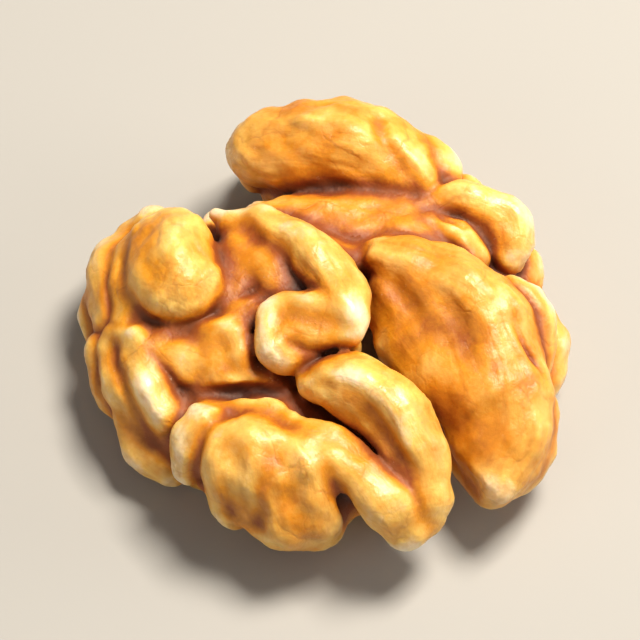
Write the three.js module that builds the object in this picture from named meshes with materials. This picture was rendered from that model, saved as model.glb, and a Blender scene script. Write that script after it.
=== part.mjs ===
import * as THREE from "three";

// Walnut kernel: one half of the nut, grown in one piece, lying on its ribbed inner face with the
// folded outer face up. Millimetres, +Z up. The nut's midline runs along Y: the two lobes lie left
// and right of it, joined by a bridge, and the open cleft between them points to -Y.

// Driving dimensions
const DIAMETER = 26.2;        // of the circle on which the ribs of the inner face end
const LOBE_OFFSET = 4.5;      // from the midline to the middle of a lobe, where its ribs start
const RIBS_PER_LOBE = 7;
const REST_CUT = 0.5;         // how far the lowest ribs are worn flat where the kernel rests
const GRID = 0.78;            // spacing of the grid from which the surface is taken
const SOFTEST_SEAM = 0.7;     // every seam is at least this wide, so that the grid can hold it
const EVENING = 0.35;         // share of the way to its neighbours that a vertex goes in each turn
const EVENING_TURNS = 1;
const WAVER = 0.16;           // how far the outlines stray from the drawn ones
const WAVER_LENGTH = 5;       // length of those waves

// The seen folds were drawn in the plane of a view that stands this far above the table, and this
// far round from -Y towards -X: each point is [across, up, height over the table, radius].
const VIEW_RISE = THREE.MathUtils.degToRad(60);
const VIEW_TURN = THREE.MathUtils.degToRad(32.7);

// The bodies under the folds, in the kernel's own plan: [x, y, height, radius]. The blend is how
// wide the seam is where a piece runs into the ones before it.
const BODIES = [
  { name: "left_body", blend: 1.4, path: [
    [-6.2, 7.2, 4.9, 2.9], [-7.2, 1, 5.4, 3.3], [-6.6, -5.2, 5, 3.1],
    [-4.6, -9.6, 4.2, 2.4]
  ] },
  { name: "left_rim", blend: 1.4, path: [
    [-7, 8.6, 4.2, 2.2], [-10.2, 4.6, 4.2, 2.3], [-10.8, -0.4, 4.2, 2.3],
    [-9.6, -5.8, 3.8, 2.2], [-6.8, -9.8, 3.4, 2]
  ] },
  { name: "right_body", blend: 1.4, path: [
    [5.4, 7.4, 5.2, 3], [7, 2, 5.3, 3.3], [6.6, -4.6, 5.1, 3.3], [5.6, -9.6, 4.3, 2.7]
  ] },
  { name: "right_rim", blend: 1.4, path: [
    [4.4, 10.2, 4.6, 2.2], [8.8, 7.4, 4.6, 2.4], [10.8, 2, 4.4, 2.4],
    [10.4, -4, 4.2, 2.3], [8.6, -9.4, 3.6, 2.1]
  ] },
  { name: "bridge_body", blend: 1.4, path: [
    [-6, 2.6, 5.6, 2.4], [-2.4, 2.6, 6, 2.5], [2, 1.8, 6, 2.5], [6, 1, 5.6, 2.4]
  ] },
  { name: "bridge_root", blend: 1, path: [
    [-2.6, 4.4, 6.8, 1.8], [-1.4, 1, 7.6, 2.2], [-1.2, -2.6, 7.6, 2.2]
  ] },
  { name: "left_middle", blend: 1, path: [
    [-8.4, 1.6, 5.8, 2], [-5.6, -1.6, 6.2, 1.9], [-5.6, -4.4, 5.4, 1.8],
    [-4.2, -7.6, 5.4, 1.9], [-3.4, -10.2, 4.6, 1.7]
  ] },
];

// The folds of the outer face, from the top of the right lobe round to the front of the left one.
const SEEN_FOLDS = [
  { name: "back_ridge", blend: 0.3, path: [
    [-4.6, 13.7, 7, 1.5], [-3.6, 13.6, 7.1, 2.3], [-2, 13.6, 7.4, 2.9],
    [0.3, 13.6, 7.8, 3.2], [2.7, 13.4, 8, 3.1], [5, 12.5, 7.9, 2.4],
    [6.5, 11.2, 7.7, 1.5]
  ] },
  { name: "back_ridge_end", blend: 0.3, path: [
    [5.8, 13.5, 7.2, 1.6], [7.4, 12.5, 7.4, 1.5], [8.1, 11.6, 7.4, 1]
  ] },
  { name: "shoulder", blend: 0.3, path: [
    [6.8, 10, 8, 0.6], [8.1, 10.2, 7.9, 1.1], [9.7, 9.9, 7.6, 1.6], [11.4, 8.7, 7, 1.8],
    [12.2, 7.2, 6.6, 1.5]
  ] },
  { name: "shelf", blend: 0.7, path: [
    [-3.5, 8.8, 6.9, 1.5], [-1.1, 8.9, 7, 1.8], [1.6, 9, 7.1, 1.8],
    [4.3, 9.1, 7.2, 1.8], [6.8, 8.6, 7, 1.6]
  ] },
  { name: "shelf_front", blend: 0.9, path: [
    [-2.2, 7.5, 6.9, 1.6], [0.5, 7.3, 7, 1.8], [3.2, 7.4, 7.2, 1.8],
    [5.9, 7.2, 7.2, 1.7], [8.9, 6.9, 6.6, 1.6]
  ] },
  { name: "shoulder_inner", blend: 0.2, path: [
    [6.8, 8.5, 7.9, 1], [8.4, 7.8, 7.9, 1.2], [9.6, 6.6, 7.4, 1.2]
  ] },
  { name: "front_top", blend: 0.5, path: [
    [3.8, 6.6, 9, 1.4], [5.9, 5.7, 9, 1.9], [8.1, 4.8, 8.8, 2.4], [10, 3.1, 8.4, 2.7],
    [11.1, 0.7, 7.8, 2.7], [11.6, -2, 7, 2.6], [11.9, -4.4, 6.2, 2.4],
    [11.1, -6.7, 5.2, 2.1]
  ] },
  { name: "front_inner", blend: 0.8, path: [
    [4, 4.2, 7.6, 1.2], [4.4, 2.3, 7, 1.4], [5.1, 0.4, 6.4, 1.5], [6.4, -1.7, 5.8, 1.3]
  ] },
  { name: "front_wall", blend: 1.2, path: [
    [4.7, 4.1, 7.8, 1.6], [6.4, 1.8, 7.3, 2.3], [7.8, -0.6, 6.7, 2.3],
    [8.8, -3.4, 5.8, 2.1], [9.6, -5.8, 4.6, 1.8], [10.4, -7.5, 3.6, 1.4]
  ] },
  { name: "front_fill", blend: 1.2, path: [
    [7.6, 2.9, 7.6, 2.5], [8.9, 0.4, 7, 2.8], [9.7, -2, 6.3, 2.8],
    [10.1, -4.2, 5.6, 2.5]
  ] },
  { name: "side_fold", blend: 0.3, path: [
    [11.9, 4.4, 8, 1], [13.1, 3.3, 7.4, 1.4], [13.7, 1.6, 6.8, 1.4],
    [13.7, 0.2, 6.2, 1.2], [13.6, -1, 5.6, 0.9]
  ] },
  { name: "front_outer", blend: 0.4, path: [
    [13.2, -3.2, 5.2, 1.7], [13, -5.2, 4.6, 1.6], [12, -7.1, 4, 1.4]
  ] },
  { name: "bridge", blend: 0.3, path: [
    [-6.6, 9.4, 8, 0.49], [-5.4, 8.9, 8.4, 0.8], [-3.5, 8.5, 9.2, 1.2],
    [-1.9, 7.6, 9.8, 1.5], [-0.3, 6.4, 10.2, 1.7], [1, 4.8, 10.5, 1.8],
    [1.5, 3.1, 10.5, 1.7], [1.6, 2.1, 10.3, 1.3]
  ] },
  { name: "bridge_face", blend: 0.5, path: [
    [-5.6, 8.2, 7.9, 1.1], [-4.6, 6.9, 8.5, 1.4], [-3.2, 5.7, 9, 1.5],
    [-2.4, 4.5, 9.1, 1.3]
  ] },
  { name: "bridge_fold_top", blend: 0.3, path: [
    [-2, 3.3, 10, 1.1], [-0.3, 3.3, 10.7, 1.3], [1.5, 2.9, 10.6, 1.4]
  ] },
  { name: "bridge_fold_mid", blend: 0.6, path: [
    [-1.8, 2, 10.1, 1.2], [-0.3, 1.8, 10.2, 1.2], [1.2, 1.8, 10.1, 1.1]
  ] },
  { name: "bridge_fold_low", blend: 0.3, path: [
    [-2.6, 2.9, 10, 1.2], [-2.9, 1.6, 9.8, 1.2], [-2.2, 0.4, 9.4, 1.2],
    [-1, 0.5, 9.2, 1]
  ] },
  { name: "bridge_back", blend: 0.6, path: [
    [-1.1, 7.2, 8.2, 1.4], [1.1, 6.4, 8.4, 1.4], [2.7, 6.4, 8, 1.2]
  ] },
  { name: "knob", blend: 0.25, path: [[-9.4, 7.3, 8, 2.5], [-9.1, 5.9, 8.6, 3], [-8.6, 5, 8.8, 2.8]] },
  { name: "knob_root", blend: 0.7, path: [
    [-11.6, 6.6, 6.9, 1.4], [-11.8, 5, 6.9, 1.5], [-11.4, 3.4, 6.9, 1.5]
  ] },
  { name: "knob_floor", blend: 0.8, path: [
    [-11.8, 2.1, 6.7, 1.2], [-9.9, 1.3, 7.1, 1.1], [-7.6, 2.2, 7.5, 1.2]
  ] },
  { name: "tip_edge", blend: 0.35, path: [
    [-11.8, 8.1, 5, 1.1], [-12.9, 6.6, 5.4, 1.6], [-13.5, 4.8, 5.6, 1.5],
    [-13.2, 3, 5.6, 1.4], [-13, 2.1, 5.4, 0.9]
  ] },
  { name: "bump_c", blend: 0.3, path: [[-12.6, 1.5, 6.4, 0.9], [-11.5, 1.5, 7.4, 1.1]] },
  { name: "side_band", blend: 0.6, path: [
    [-13, 0.4, 5.6, 1.2], [-12.6, -0.9, 5.4, 1.4], [-11.7, -2.3, 5, 1.5],
    [-10.8, -3.8, 4.2, 1.4], [-10.1, -5, 3.2, 1.1]
  ] },
  { name: "side_inner", blend: 0.7, path: [
    [-11.3, 0.3, 6.9, 1.4], [-10.5, -1.2, 6.8, 1.5], [-9.6, -2.9, 6.2, 1.4]
  ] },
  { name: "bump_b", blend: 0.5, path: [
    [-9.9, 0.7, 7.4, 0.9], [-8.5, 0.4, 7.8, 1.1], [-8.2, -0.3, 7.5, 0.9]
  ] },
  { name: "bump_a", blend: 0.5, path: [
    [-6.9, 1.5, 8.1, 1], [-5.6, 1.6, 8.5, 1.2], [-5, 0.7, 8.3, 1.2],
    [-4.9, -0.1, 7.9, 1]
  ] },
  { name: "bump_fill", blend: 0.7, path: [[-7.4, 0.3, 7.7, 1], [-6.4, 0.3, 7.9, 1.1]] },
  { name: "floor", blend: 0.8, path: [
    [-5.4, 6.4, 8.1, 1.5], [-5.1, 5, 8.2, 1.6], [-5.5, 3.3, 7.9, 1.5],
    [-4.1, 2.9, 8.2, 1.4]
  ] },
  { name: "gap_floor", blend: 0.6, path: [
    [-6.7, 8.7, 5.6, 0.9], [-6.6, 7.6, 6, 1], [-6.4, 6.4, 6.4, 1.1]
  ] },
  { name: "floor_bump", blend: 0.4, path: [[-5.4, 5.5, 8.5, 0.49], [-4.7, 5.9, 8.5, 0.43]] },
  { name: "fan_slope", blend: 0.9, path: [
    [-6.8, -3.4, 6.9, 1.2], [-4.6, -3.4, 7, 1.3], [-2.2, -3.6, 7.2, 1.3]
  ] },
  { name: "finger_1", blend: 0.35, path: [
    [-7.2, -3.6, 7.8, 1.2], [-8.1, -5, 6.8, 1.4], [-8.2, -6.3, 5.2, 1.1]
  ] },
  { name: "finger_2", blend: 0.8, path: [
    [-5.2, -5, 7.7, 1.7], [-5.6, -6.5, 6.8, 1.7], [-5.6, -8.2, 5.2, 1.6],
    [-5.4, -9, 3.8, 1.2]
  ] },
  { name: "finger_3", blend: 1.3, path: [
    [-3.2, -5.4, 7.8, 2.1], [-3.2, -7.1, 7, 2.2], [-2.6, -9, 5.4, 2],
    [-2.2, -10.1, 3.8, 1.6]
  ] },
  { name: "finger_4", blend: 1.3, path: [
    [-1.1, -5.7, 7.8, 1.9], [-0.8, -7.1, 7, 2], [-0.5, -9, 5.6, 1.9],
    [-0.1, -10.1, 4, 1.4]
  ] },
  { name: "ridge", blend: 0.6, path: [
    [-1.4, -3.8, 8.2, 0.9], [0.6, -5.2, 8.2, 1.4], [2.4, -6.8, 7.6, 1.6],
    [4.1, -8.5, 6.6, 1.7], [5.1, -9.8, 5.4, 1.6]
  ] },
  { name: "end_lobe", blend: 0.8, path: [
    [4.5, -6.5, 7.2, 1.1], [5, -7.9, 6.7, 1.5], [5.3, -9.3, 5.6, 1.5]
  ] },
  { name: "flap", blend: 0.3, path: [
    [-0.4, -1.2, 8.7, 1.1], [1.2, -1.3, 9.2, 1.7], [3, -2, 9.3, 2.3],
    [4.5, -3.3, 8.9, 2.3], [5.5, -5.1, 8.1, 2.1], [6.3, -7.1, 7, 1.7],
    [6.4, -9, 5.6, 1.5], [5.4, -9.9, 4.4, 1.5]
  ] },
];

// The folds down the far sides, from the back of the right lobe round both flanks: [x, y, height, radius].
const HIDDEN_FOLDS = [
  { name: "back_a", blend: 0.3, path: [
    [2.7, 12, 5.2, 1.3], [3.6, 12.5, 4.2, 1.6], [4.4, 12.6, 2.9, 1.6]
  ] },
  { name: "back_b", blend: 0.3, path: [[4.9, 11.3, 6.4, 1.8], [6.6, 11.7, 5, 1.8], [7.4, 11, 3.2, 1.8]] },
  { name: "back_c", blend: 0.3, path: [[8, 9.9, 6.5, 1.7], [9.8, 9.5, 4.9, 1.8], [10, 8.2, 3.1, 1.8]] },
  { name: "back_d", blend: 0.3, path: [[10.9, 7, 5.6, 1.6], [12.2, 5.6, 4.4, 1.6], [11.8, 4.4, 3, 1.7]] },
  { name: "side_a", blend: 0.3, path: [
    [12.6, 3.2, 5.2, 1.4], [13.3, 1.2, 3.9, 1.5], [12.4, -0.2, 2.8, 1.6]
  ] },
  { name: "side_b", blend: 0.3, path: [
    [13.3, -1.2, 4.6, 1.3], [13, -3.2, 3.6, 1.5], [12, -4.8, 2.6, 1.6]
  ] },
  { name: "side_c", blend: 0.3, path: [
    [12, -6.2, 3.7, 1.5], [11.6, -8.2, 2.7, 1.6], [10.4, -9.4, 2.4, 1.6]
  ] },
  { name: "tip_a", blend: 0.3, path: [
    [-5.4, 11.2, 5.8, 1.6], [-6.9, 11.5, 4.4, 1.7], [-8.3, 10.4, 2.9, 1.7]
  ] },
  { name: "tip_b", blend: 0.3, path: [
    [-9.4, 9.7, 4.4, 1.6], [-11.2, 7.9, 3.6, 1.7], [-11.2, 6, 2.7, 1.7]
  ] },
  { name: "tip_c", blend: 0.3, path: [
    [-12.3, 5.6, 4.2, 1.5], [-12.9, 3.5, 3.4, 1.6], [-12.2, 1.8, 2.6, 1.6]
  ] },
  { name: "tip_d", blend: 0.3, path: [
    [-13.3, 1.2, 3.9, 1.4], [-13.5, -0.9, 3.2, 1.5], [-12.8, -2.4, 2.5, 1.6]
  ] },
];

// The open cleft between the lobes, at three heights: [x, y, height, radius].
const CLEFT = [
  { name: "cleft_high", blend: 0.5, path: [
    [-0.2, -6, 7.8, 0.4], [0.55, -7.2, 7.2, 0.6], [1.05, -9.6, 6.6, 0.75],
    [0.85, -12.4, 5.4, 0.6], [0.5, -16, 4, 0.8]
  ] },
  { name: "cleft_deep", blend: 0.5, path: [
    [0.1, -6.2, 6.2, 0.5], [0.95, -9.3, 5, 0.8], [0.75, -12.2, 3.8, 0.7],
    [0.5, -17, 2.6, 1]
  ] },
  { name: "cleft_middle", blend: 0.5, path: [
    [0.2, -6.2, 5, 0.6], [0.8, -9, 3.6, 0.9], [1, -12, 2.2, 1.1], [1.3, -18, 1, 1.8]
  ] },
  { name: "cleft_low", blend: 0.8, path: [
    [0.2, -5.4, 1.2, 0.8], [0.8, -8.5, 0.6, 1.1], [1, -12, 0.2, 1.4],
    [1.3, -18, -0.5, 2.2]
  ] },
];

// Grooves between the folds of the outer face, as drawn in the view.
const GROOVES = [
  { name: "notch", blend: 0.3, path: [
    [1.1, -7.4, 7.2, 0.19], [1.5, -8.4, 6.4, 0.46], [1.9, -9.6, 5, 0.7],
    [2.4, -11.2, 3.4, 1.1]
  ] },
  { name: "notch_low", blend: 0.3, path: [[1.7, -9.6, 3, 0.43], [2.4, -11.5, 1.2, 1]] },
  { name: "long_groove", blend: 0.5, path: [
    [-8.5, -1.5, 7.6, 0.24], [-6.9, -1.6, 7.9, 0.41], [-4.6, -1.7, 8, 0.51],
    [-2.6, -1.8, 8, 0.49], [-1.1, -2.7, 8.2, 0.35], [1.1, -3.9, 8.2, 0.32],
    [2.7, -5, 8.1, 0.3], [3.6, -5.6, 8.2, 0.16]
  ] },
  { name: "cleft_head", blend: 0.3, path: [
    [2.8, 3.4, 9.4, 0.16], [3, 1.8, 8.8, 0.22], [2.9, 0.7, 8.4, 0.24],
    [1.4, 0.4, 8, 0.19]
  ] },
];

// Turns a point of the drawing plane into the kernel's own x, y, height and radius.
function fromDrawing([across, up, height, radius]) {
  const along = (up - height * Math.cos(VIEW_RISE)) / Math.sin(VIEW_RISE);
  const x = across * Math.cos(VIEW_TURN) + along * Math.sin(VIEW_TURN);
  const y = along * Math.cos(VIEW_TURN) - across * Math.sin(VIEW_TURN);
  return [x, y, height, radius];
}

// A smooth curve through the points, cut into short straight pieces with a radius at each end.
function sweep(path, steps) {
  const first = path[0].map((v, k) => 2 * v - path[1][k]);
  const last = path.at(-1).map((v, k) => 2 * v - path.at(-2)[k]);
  const p = [first, ...path, last];
  const line = [];
  for (let i = 1; i < p.length - 2; i++) {
    for (let s = 0; s < steps; s++) {
      const t = s / steps;
      line.push(p[i].map((b, k) => {
        const a = p[i - 1][k];
        const c = p[i + 1][k];
        const d = p[i + 2][k];
        const bend = 2 * a - 5 * b + 4 * c - d;
        return 0.5 * (2 * b + (c - a) * t + bend * t * t + (3 * b - a - 3 * c + d) * t ** 3);
      }));
    }
  }
  line.push(path.at(-1));
  const low = [0, 1, 2].map((k) => Math.min(...line.map((q) => q[k] - q[3])));
  const high = [0, 1, 2].map((k) => Math.max(...line.map((q) => q[k] + q[3])));
  return { line, low, high };
}

// Distance from a point to the swept balls of a line: below 0 inside, and large when far away.
function distance({ line, low, high }, reach, x, y, z) {
  if (x < low[0] - reach || y < low[1] - reach || z < low[2] - reach) return Infinity;
  if (x > high[0] + reach || y > high[1] + reach || z > high[2] + reach) return Infinity;
  let best = Infinity;
  for (let i = 1; i < line.length; i++) {
    const [ax, ay, az, ar] = line[i - 1];
    const [bx, by, bz, br] = line[i];
    const ux = bx - ax;
    const uy = by - ay;
    const uz = bz - az;
    const dot = (x - ax) * ux + (y - ay) * uy + (z - az) * uz;
    const t = Math.min(1, Math.max(0, dot / Math.max(ux * ux + uy * uy + uz * uz, 1e-9)));
    const far = Math.hypot(x - ax - t * ux, y - ay - t * uy, z - az - t * uz);
    best = Math.min(best, far - ar - t * (br - ar));
  }
  return best;
}

// Joins two distances with a rounded seam of that width.
function join(a, b, width) {
  const h = Math.max(width - Math.abs(a - b), 0) / width;
  return Math.min(a, b) - 0.25 * h * h * width;
}

// Takes b out of a with a rounded edge of that width.
function cut(a, b, width) {
  return -join(-a, b, width);
}

// The inner face: ribs fan out from the middle of each lobe to the rim, with a furrow between each two.
function innerFace() {
  const ribs = [];
  const furrows = [];
  const count = 2 * RIBS_PER_LOBE - 1;
  for (const side of [-1, 1]) {
    for (let i = 0; i < count; i++) {
      const degrees = 104 + 150 * i / (count - 1) + 5 * Math.sin(2.3 * i + side);
      const dx = -side * Math.cos(THREE.MathUtils.degToRad(degrees));
      const dy = Math.sin(THREE.MathUtils.degToRad(degrees));
      const cx = side * LOBE_OFFSET;
      const cy = -0.5;
      const rim = DIAMETER / 2 + 0.4 * Math.sin(1.7 * i + side);
      const b = cx * dx + cy * dy;
      const length = Math.sqrt(b * b - cx * cx - cy * cy + rim * rim) - b - 1.9;
      const at = (part, height, radius) => [cx + dx * length * part, cy + dy * length * part, height, radius];
      if (i % 2 === 0) {
        ribs.push([at(0.3, 4.2, 1.7), at(0.65, 2.9, 1.9), at(1, 2.1, 2.1)]);
      } else {
        furrows.push([at(0.35, 2.2, 0.3), at(0.7, 1, 0.45), at(1.05, 0.4, 0.6), at(1.35, 0.6, 0.9)]);
      }
    }
  }
  return { ribs, furrows };
}

const inner = innerFace();
const soft = (blend) => Math.max(blend, SOFTEST_SEAM);
const own = (folds, steps) => folds.map((f) => ({ blend: soft(f.blend), ...sweep(f.path, steps) }));
const drawn = (folds) => folds.map((f) => ({ blend: soft(f.blend), ...sweep(f.path.map(fromDrawing), 5) }));
const plain = (paths, blend) => paths.map((path) => ({ blend, ...sweep(path, 3) }));

// The order of growth: bodies, ribs of the inner face and their furrows, outer folds, then grooves.
const STEPS = [
  ...own(BODIES, 4).map((f) => ({ ...f, apply: join })),
  ...plain(inner.ribs, 0.8).map((f) => ({ ...f, apply: join })),
  ...plain(inner.furrows, 0.8).map((f) => ({ ...f, apply: cut })),
  ...drawn(SEEN_FOLDS).map((f) => ({ ...f, apply: join })),
  ...own(HIDDEN_FOLDS, 5).map((f) => ({ ...f, apply: join })),
  ...own(CLEFT, 5).map((f) => ({ ...f, apply: cut })),
  ...drawn(GROOVES).map((f) => ({ ...f, apply: cut })),
];

// Waves in many directions, of about the given length, that add up to an even unrest of about 1.
function unrest(seed, count, length, x, y, z) {
  const part = (v) => v - Math.floor(v);
  let sum = 0;
  for (let i = 1; i <= count; i++) {
    const rise = 2 * part(0.618034 * i + 0.414214 * seed) - 1;
    const turn = 2 * Math.PI * part(0.754878 * i + 0.56984 * seed);
    const flat = Math.sqrt(1 - rise * rise);
    const k = 2 * Math.PI / (length * (0.75 + 0.6 * part(0.324718 * i + 0.236068 * seed)));
    const phase = 2 * Math.PI * part(0.445042 * i * (seed + 1));
    sum += Math.sin(k * (flat * Math.cos(turn) * x + flat * Math.sin(turn) * y + rise * z) + phase);
  }
  return sum / Math.sqrt(count);
}

// The kernel's form: below 0 inside.
function form(px, py, pz) {
  const x = px + WAVER * unrest(10, 7, WAVER_LENGTH, px, py, pz);
  const y = py + WAVER * unrest(11, 7, WAVER_LENGTH, px, py, pz);
  const z = pz + WAVER * unrest(12, 7, WAVER_LENGTH, px, py, pz);
  let f = 4;
  for (const step of STEPS) {
    const d = distance(step, 3, x, y, z);
    if (d < 3) f = step.apply(f, d, step.blend);
  }
  return f;
}

// Samples of the form on an even grid, with everything that does not hang together taken out.
function sampleForm() {
  const low = [-16.5, -18.5, -1.6];
  const size = [33, 35, 16].map((length) => Math.ceil(length / GRID) + 1);
  const values = new Float64Array(size[0] * size[1] * size[2]);
  const at = (i, j, k) => (i * size[1] + j) * size[2] + k;
  for (let i = 0; i < size[0]; i++) {
    for (let j = 0; j < size[1]; j++) {
      for (let k = 0; k < size[2]; k++) {
        values[at(i, j, k)] = form(low[0] + i * GRID, low[1] + j * GRID, low[2] + k * GRID);
      }
    }
  }
  return { low, size, values, at };
}

// All grid points of the same side as the first one that hang together with it.
function flood(grid, start, inside, seen) {
  const [nx, ny, nz] = grid.size;
  const stack = [start];
  const found = [];
  seen[grid.at(...start)] = 1;
  while (stack.length) {
    const [i, j, k] = stack.pop();
    found.push(grid.at(i, j, k));
    for (const [a, b, c] of [[1, 0, 0], [-1, 0, 0], [0, 1, 0], [0, -1, 0], [0, 0, 1], [0, 0, -1]]) {
      const [u, v, w] = [i + a, j + b, k + c];
      if (u < 0 || v < 0 || w < 0 || u >= nx || v >= ny || w >= nz) continue;
      const n = grid.at(u, v, w);
      if (seen[n] || (grid.values[n] < 0) !== inside) continue;
      seen[n] = 1;
      stack.push([u, v, w]);
    }
  }
  return found;
}

// Leaves one body and no closed hollow: smaller bodies go, and hollows fill.
function tidyGrid(grid) {
  const [nx, ny, nz] = grid.size;
  const seen = new Uint8Array(grid.values.length);
  const open = flood(grid, [0, 0, 0], false, seen);
  const bodies = [];
  for (let i = 0; i < nx; i++) {
    for (let j = 0; j < ny; j++) {
      for (let k = 0; k < nz; k++) {
        const n = grid.at(i, j, k);
        if (!seen[n] && grid.values[n] < 0) bodies.push(flood(grid, [i, j, k], true, seen));
      }
    }
  }
  bodies.sort((a, b) => b.length - a.length);
  const isOpen = new Uint8Array(grid.values.length);
  for (const n of open) isOpen[n] = 1;
  for (const body of bodies.slice(1)) {
    for (const n of body) grid.values[n] = 0.05;
  }
  for (let n = 0; n < grid.values.length; n++) {
    if (grid.values[n] >= 0 && !isOpen[n] && !seen[n]) grid.values[n] = -0.05;
  }
}

const CORNERS = [];
for (let c = 0; c < 8; c++) CORNERS.push([c & 1, (c >> 1) & 1, (c >> 2) & 1]);

// True for the patterns of a cell in which its inside corners hang together and its outside ones too.
const SIMPLE = [];
for (let pattern = 0; pattern < 256; pattern++) {
  const groups = [false, true].map((inside) => {
    const members = CORNERS.map((_, c) => c).filter((c) => Boolean(pattern & (1 << c)) === inside);
    if (!members.length) return 0;
    const reached = new Set([members[0]]);
    for (const c of reached) {
      for (const bit of [1, 2, 4]) if (members.includes(c ^ bit)) reached.add(c ^ bit);
    }
    return reached.size === members.length ? 1 : 2;
  });
  SIMPLE.push(groups[0] < 2 && groups[1] < 2);
}

// Fills the shallowest outside corner of every cell whose pattern is not simple, until none is left.
function fillGrid(grid) {
  const [nx, ny, nz] = grid.size;
  for (let changed = true; changed;) {
    changed = false;
    for (let i = 0; i < nx - 1; i++) {
      for (let j = 0; j < ny - 1; j++) {
        for (let k = 0; k < nz - 1; k++) {
          const ids = CORNERS.map(([a, b, c]) => grid.at(i + a, j + b, k + c));
          const pattern = ids.reduce((sum, n, c) => sum | (grid.values[n] < 0 ? 1 << c : 0), 0);
          if (SIMPLE[pattern]) continue;
          const outside = ids.filter((n) => grid.values[n] >= 0);
          outside.sort((a, b) => grid.values[a] - grid.values[b]);
          grid.values[outside[0]] = -0.05;
          changed = true;
        }
      }
    }
  }
}

// One vertex in each cell that the surface passes, and a quad across each grid edge that it crosses.
function takeSurface(grid) {
  const { low, values, at } = grid;
  const [nx, ny, nz] = grid.size;
  const vertexOf = new Map();
  const points = [];
  const cells = [];
  for (let i = 0; i < nx - 1; i++) {
    for (let j = 0; j < ny - 1; j++) {
      for (let k = 0; k < nz - 1; k++) {
        const sum = [0, 0, 0];
        let count = 0;
        for (const [a, b, c] of CORNERS) {
          const here = values[at(i + a, j + b, k + c)];
          [[1, 0, 0], [0, 1, 0], [0, 0, 1]].forEach(([u, v, w], axis) => {
            if ([a, b, c][axis] === 1) return;
            const there = values[at(i + a + u, j + b + v, k + c + w)];
            if ((here < 0) === (there < 0)) return;
            const t = here / (here - there);
            sum[0] += i + a + (axis === 0 ? t : 0);
            sum[1] += j + b + (axis === 1 ? t : 0);
            sum[2] += k + c + (axis === 2 ? t : 0);
            count++;
          });
        }
        if (!count) continue;
        vertexOf.set(at(i, j, k), points.length);
        points.push(sum.map((s, axis) => low[axis] + GRID * s / count));
        cells.push([i, j, k]);
      }
    }
  }
  const triangles = [];
  const addQuad = (a, b, c, d, flip) => {
    const quad = [a, b, c, d].map((n) => vertexOf.get(n));
    if (flip) quad.reverse();
    const p = quad.map((n) => new THREE.Vector3(...points[n]));
    const short = p[0].distanceTo(p[2]) < p[1].distanceTo(p[3]);
    if (short) triangles.push(quad[0], quad[1], quad[2], quad[0], quad[2], quad[3]);
    else triangles.push(quad[1], quad[2], quad[3], quad[1], quad[3], quad[0]);
  };
  for (let i = 1; i < nx - 1; i++) {
    for (let j = 1; j < ny - 1; j++) {
      for (let k = 1; k < nz - 1; k++) {
        const here = values[at(i, j, k)] < 0;
        if (here !== values[at(i + 1, j, k)] < 0) {
          addQuad(at(i, j - 1, k - 1), at(i, j, k - 1), at(i, j, k), at(i, j - 1, k), !here);
        }
        if (here !== values[at(i, j + 1, k)] < 0) {
          addQuad(at(i - 1, j, k - 1), at(i - 1, j, k), at(i, j, k), at(i, j, k - 1), !here);
        }
        if (here !== values[at(i, j, k + 1)] < 0) {
          addQuad(at(i - 1, j - 1, k), at(i, j - 1, k), at(i, j, k), at(i - 1, j, k), !here);
        }
      }
    }
  }
  return { points, cells, triangles };
}

// Evens the surface out, each vertex within its own cell, and wears the lowest ribs flat on the table.
function settle({ points, cells, triangles }, grid) {
  for (let turn = 0; turn < EVENING_TURNS; turn++) {
    const sums = points.map(() => [0, 0, 0, 0]);
    for (let n = 0; n < triangles.length; n++) {
      const next = n % 3 === 2 ? n - 2 : n + 1;
      const sum = sums[triangles[n]];
      const other = points[triangles[next]];
      for (let axis = 0; axis < 3; axis++) sum[axis] += other[axis];
      sum[3]++;
    }
    points.forEach((p, n) => {
      for (let axis = 0; axis < 3; axis++) {
        const start = grid.low[axis] + GRID * cells[n][axis];
        const moved = p[axis] + EVENING * (sums[n][axis] / sums[n][3] - p[axis]);
        p[axis] = Math.min(start + 0.95 * GRID, Math.max(start + 0.05 * GRID, moved));
      }
    });
  }
  const level = Math.min(...points.map((p) => p[2])) + REST_CUT;
  const middle = [0, 1].map((axis) => {
    const all = points.map((p) => p[axis]);
    return (Math.min(...all) + Math.max(...all)) / 2;
  });
  for (const p of points) {
    p[0] -= middle[0];
    p[1] -= middle[1];
    p[2] = Math.max(p[2] - level, 0);
  }
}

const grid = sampleForm();
tidyGrid(grid);
fillGrid(grid);
// Filling can close off a small hollow, so the grid is tidied once more.
tidyGrid(grid);
const surface = takeSurface(grid);
settle(surface, grid);

const geometry = new THREE.BufferGeometry();
geometry.setAttribute("position", new THREE.Float32BufferAttribute(surface.points.flat(), 3));
geometry.setIndex(surface.triangles);
geometry.computeVertexNormals();

const kernel = new THREE.Mesh(geometry, new THREE.MeshStandardMaterial({ color: 0xd0903f, roughness: 0.5 }));
kernel.name = "kernel";

const walnut = new THREE.Group();
walnut.name = "walnut_kernel";
walnut.add(kernel);

export default walnut;
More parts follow.
